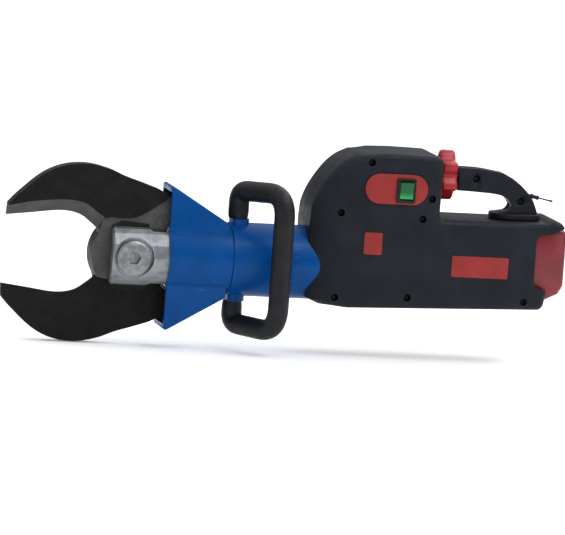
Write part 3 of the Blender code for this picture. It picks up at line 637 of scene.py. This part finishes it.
def make_ram_housing():
    """The round ram barrel with its two bosses, and the winged frame welded in front."""
    chamfer = [(BARREL_FRONT, BARREL_R - 0.8), (BARREL_FRONT + 0.8, BARREL_R)]
    barrel = turned("cylinder_barrel_finished", chamfer + [(BARREL_REAR, BARREL_R)], "X",
                    count=128)
    for low, high in ((40, 56), (-56, -40)):
        boss = turned("boss", [(low, 15.5), (high, 15.5)], "Z", BOW_LEG, 64)
        cut(boss, box("front", (120, 137.3), (-30, 30), (-60, 60)))
        cut(barrel, boss, operation="UNION")
        cut(barrel, turned("stud_hole", [(low, 5.3), (high + 2, 5.3)], "Z", BOW_LEG))
    cut(barrel, turned("bore", [(100, 36.3), (300, 36.3)], "X", count=64))
    dress(smooth(barrel, 30.0), BLUE, "frame", "blue_enamel", "cylinder_barrel")
    bevelled(barrel, 0.8, 2, 40.0)

    def profile(drop, front):
        """The wings' side outline, made smaller by drop above and below."""
        top = WING_TOP - drop
        knee, rear = 52.5, 131
        return [(front, -top), (knee, -top), (rear, -50 + drop), (rear, 50 - drop),
                (knee, top), (front, top)]

    wings = prism("wing_frame_finished", profile(0, WING_FRONT), "Y", -WING_HALF, WING_HALF)
    apply_modifiers(bevelled(wings, 5.0, 4, 40.0))
    hull = turned("hull", [(WING_FRONT, HULL_R), (135.2, HULL_R), (136.0, HULL_R - 0.8)],
                  "X", count=128)
    cut(wings, hull, operation="UNION")
    cut(wings, prism("hollow", profile(7, WING_FRONT - 20), "Y", -29, 29),
        turned("seat", [(0, 45.8), (200, 45.8)], "X", count=96))
    dress(smooth(wings, 30.0), BLUE, "frame", "blue_enamel", "wing_frame")
    bevelled(wings, 0.7, 2, 40.0)


def weld_bead(name, path, radius):
    """A rippled weld seam along a path, as a low rounded ridge."""
    rings = []
    for i, point in enumerate(path):
        ahead = path[min(i + 1, len(path) - 1)]
        behind = path[max(i - 1, 0)]
        tangent = (ahead - behind).normalized()
        side = tangent.orthogonal().normalized()
        up = tangent.cross(side)
        size = radius * (1.0 + 0.16 * math.sin(i * 1.9))
        rings.append([point + side * a + up * b for a, b in circle((0, 0), size, 12)])
    bead = smooth(loft(name, rings), 80.0)
    return dress(bead, BLUE, "frame", "blue_enamel")


def make_welds():
    """Seams where the wings' side plates run into the round hull."""
    for side_name, side in (("near", -1), ("far", 1)):
        height = math.sqrt(HULL_R ** 2 - WING_HALF ** 2)
        for level_name, level in (("upper", 1), ("lower", -1)):
            path = [Vector((56 + 1.1 * i, side * 34.6, level * height)) for i in range(66)]
            weld_bead("weld_%s_%s" % (side_name, level_name), path, 1.5)


def make_sleeve():
    """The bow's rubber cover, an even round tube that narrows only at its two ends."""
    path = bow_path()
    dense = [path[0]]
    for a, b in zip(path, path[1:]):
        count = max(1, round((b - a).length / 6.0))
        dense += [a.lerp(b, i / count) for i in range(1, count + 1)]
    side = Vector((1, 0, 0))
    rings = []
    for i, point in enumerate(dense):
        tangent = (dense[min(i + 1, len(dense) - 1)] - dense[max(i - 1, 0)]).normalized()
        side = (side - tangent * side.dot(tangent)).normalized()
        up = tangent.cross(side)
        end = min(i, len(dense) - 1 - i)
        radius = {0: 12.9, 1: 13.8}.get(end, SLEEVE_R)
        rings.append([point + side * a + up * b for a, b in circle((0, 0), radius, 32)])
    cover = loft("bow_sleeve_finished", rings)
    return dress(smooth(cover, 50.0), RUBBER, "frame", "black_rubber", "bow_sleeve")


def make_screws():
    """Pan-head screws with a cross recess, in the casing and the handle."""
    for node in NODES:
        if "screw" not in node:
            continue
        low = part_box(node)[0]
        centre = (middle(node) - SHIFT) / MM
        head = (low.y - SHIFT.y) / MM
        x, z = centre.x, centre.z
        screw = turned(node + "_finished", [
            (head, 2.2), (head + 0.25, 3.2), (head + 1.0, 3.9), (head + 1.6, 4.0),
            (head + 3, 4.0), (head + 3, 2.0), (head + 12, 2.0)], "Y", (x, z), 32)
        for wide, tall in ((3.6, 0.9), (0.9, 3.6)):
            cross = [(x + sx * wide / 2, z + sz * tall / 2)
                     for sx, sz in ((-1, -1), (1, -1), (1, 1), (-1, 1))]
            cut(screw, prism("cross", cross, "Y", head - 1, head + 1.4))
        dress(smooth(screw, 35.0), BLADE_STEEL, "frame", "black_oxide", node)


# ------------------------------------------------------------------ stage

def point_camera(obj, target, roll=0.0):
    """Aim a camera or light at a point, turned about its own view by roll degrees."""
    aim = (target - obj.location).to_track_quat("-Z", "Y").to_matrix()
    obj.rotation_euler = (aim @ Matrix.Rotation(math.radians(roll), 3, "Z")).to_euler()


CAMERA_YAW, CAMERA_RISE, CAMERA_ROLL = 12.5, 6.8, 4.1    # degrees
CAMERA_DISTANCE = 9.0                                    # metres, nearly parallel rays
CAMERA_TARGET = (214.4, 0.0, -9.0)                       # millimetres in the tool's frame
CAMERA_LENS, CAMERA_SENSOR = 421.8, 36.0


def add_camera():
    """The photograph's view: from a little towards the blades and a little above."""
    yaw, rise = math.radians(CAMERA_YAW), math.radians(CAMERA_RISE)
    data = bpy.data.cameras.new("camera")
    data.lens = CAMERA_LENS
    data.sensor_width = CAMERA_SENSOR
    camera = bpy.data.objects.new("camera", data)
    bpy.context.scene.collection.objects.link(camera)
    target = place(*CAMERA_TARGET)
    away = Vector((-math.sin(yaw) * math.cos(rise), -math.cos(yaw) * math.cos(rise),
                   math.sin(rise)))
    camera.location = target + CAMERA_DISTANCE * away
    point_camera(camera, target, CAMERA_ROLL)
    bpy.context.scene.camera = camera


def add_light(name, location, size, energy, target=(0.0, 0.0, 0.12)):
    """A soft rectangular light aimed at the middle of the tool; lengths are metres."""
    data = bpy.data.lights.new(name, "AREA")
    data.shape = "RECTANGLE"
    data.size, data.size_y = size
    data.energy = energy
    light = bpy.data.objects.new(name, data)
    bpy.context.scene.collection.objects.link(light)
    light.location = location
    point_camera(light, Vector(target))


def add_sky(horizon, zenith):
    """A sky that lights the tool dimly from the horizon and brightly from overhead, as a
    room lit from its ceiling does; the backdrop itself is seen as plain white."""
    world = bpy.data.worlds.new("studio")
    world.use_nodes = True
    tree = world.node_tree
    background = tree.nodes["Background"]
    background.inputs["Color"].default_value = (0.94, 0.97, 1.0, 1.0)
    direction = tree.nodes.new("ShaderNodeTexCoord")
    parts = tree.nodes.new("ShaderNodeSeparateXYZ")
    strength = tree.nodes.new("ShaderNodeMapRange")
    strength.inputs["From Min"].default_value = 0.05
    strength.inputs["From Max"].default_value = 0.85
    strength.inputs["To Min"].default_value = horizon
    strength.inputs["To Max"].default_value = zenith
    tree.links.new(direction.outputs["Generated"], parts.inputs["Vector"])
    tree.links.new(parts.outputs["Z"], strength.inputs["Value"])
    seen = tree.nodes.new("ShaderNodeLightPath")
    pale = tree.nodes.new("ShaderNodeMix")
    pale.inputs["B"].default_value = 1.0
    tree.links.new(seen.outputs["Is Camera Ray"], pale.inputs["Factor"])
    tree.links.new(strength.outputs["Result"], pale.inputs["A"])
    tree.links.new(pale.outputs["Result"], background.inputs["Strength"])
    bpy.context.scene.world = world


def add_stage():
    """A wide pale floor, soft lights and a pale sky."""
    reach = 40.0               # metres each way
    below = 0.0015             # metres; the tool's lowest point is at about 0
    mesh = bpy.data.meshes.new("floor")
    mesh.from_pydata([(-reach, -reach, 0.0), (reach, -reach, 0.0), (reach, reach, 0.0),
                      (-reach, reach, 0.0)], [], [(0, 1, 2, 3)])
    floor = bpy.data.objects.new("floor", mesh)
    floor.location.z = -below
    bpy.context.scene.collection.objects.link(floor)
    mesh.materials.append(studio_white("studio_floor", 0.90, 0.22))
    add_sky(0.10, 1.35)
    bpy.context.scene.view_settings.view_transform = "Standard"
    add_light("key", (1.0, -1.2, 2.2), (1.3, 0.9), 22.0)
    add_light("fill", (2.2, -1.9, 0.8), (1.4, 1.2), 7.0)
    add_light("rim", (1.5, 1.1, 2.0), (1.8, 0.7), 24.0)


# Small rounds on CAD nodes that are shown as they are, in millimetres.
# The two wear plates are dark sheets set where only a shadow line shows above the clevis ear:
# painted shade.
SOFT_EDGES = {"fork": 0.8, "pivot_bolt": 0.8, "pivot_nut": 0.8, "switch_plate": 0.6,
              "switch_frame": 0.7, "switch_rocker": 0.6, "wear_plate_near": 0.3,
              "wear_plate_far": 0.3, "battery_latch": 0.6}


def main():
    """Dress every CAD node, add the finer pieces, then the stage."""
    add_camera()
    for node in NODES.values():
        for slot in node.material_slots:
            slot.material = LOOKS[slot.material.name.split(".")[0]]
    NODES["star_knob"].material_slots[0].material = RED_KNOB
    NODES["battery_pack"].material_slots[0].material = RED_BATTERY
    make_blade("upper_blade", -1)
    make_blade("lower_blade", 1)
    make_casing()
    make_knob()
    make_handle()
    make_battery()
    make_ram_housing()
    make_welds()
    make_sleeve()
    make_screws()
    for name, width in SOFT_EDGES.items():
        bevelled(NODES[name], width, 2, 40.0)
    add_stage()


main()
